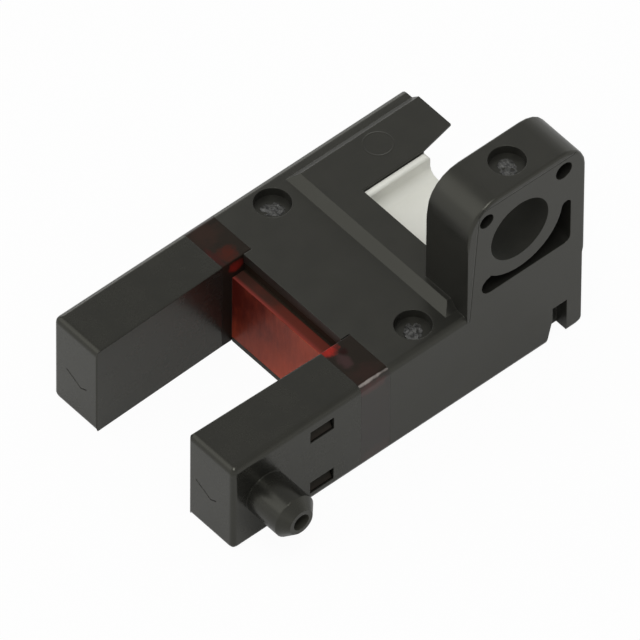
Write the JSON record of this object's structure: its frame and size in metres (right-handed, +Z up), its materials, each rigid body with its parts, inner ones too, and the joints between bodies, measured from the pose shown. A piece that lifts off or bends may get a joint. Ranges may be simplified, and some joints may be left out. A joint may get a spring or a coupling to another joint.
{
  "type": "slot photo sensor",
  "caption": "Slot photo sensor: two arms with a light beam across the slot between them, an upright mounting lug, a locating peg and a plug socket.",
  "frame": {"origin": "middle of the bounding box, at the level of the flat underside", "axes": "+X from the arm tips to the plug socket, +Z up from the flat underside, +Y towards the emitter arm; the lug and the peg are on the -Y side"},
  "size_m": [0.0388, 0.0274, 0.0229],
  "materials": {
    "housing_black": "satin",
    "filter_black": "gloss",
    "plate_black": "satin",
    "holder_black": "matte",
    "red_filter": "gloss",
    "socket_white": "satin",
    "board_green": "satin",
    "tinned": "satin",
    "emitter_clear": "gloss",
    "receiver_dark": "gloss",
    "lamp_amber": "gloss",
    "resistor_black": "satin",
    "capacitor_tan": "satin"
  },
  "bodies": {
    "root": {"left_arm_cover": "filter_black", "right_arm_cover": "filter_black", "light_core": "red_filter", "rear_housing": "housing_black", "bottom_plate": "plate_black", "circuit_board": "board_green", "connector_shell": "socket_white", "connector_pin_1": "tinned", "connector_pin_2": "tinned", "connector_pin_3": "tinned", "emitter_led": "emitter_clear", "emitter_lead_1": "tinned", "emitter_lead_2": "tinned", "emitter_holder": "holder_black", "receiver_ic": "receiver_dark", "receiver_lead_1": "tinned", "receiver_lead_2": "tinned", "receiver_lead_3": "tinned", "receiver_holder": "holder_black", "amplifier_ic": "holder_black", "output_transistor": "holder_black", "indicator_led": "lamp_amber", "resistor_1": "resistor_black", "resistor_2": "resistor_black", "resistor_3": "resistor_black", "capacitor_1": "capacitor_tan", "capacitor_2": "capacitor_tan"}
  },
  "joints": []
}
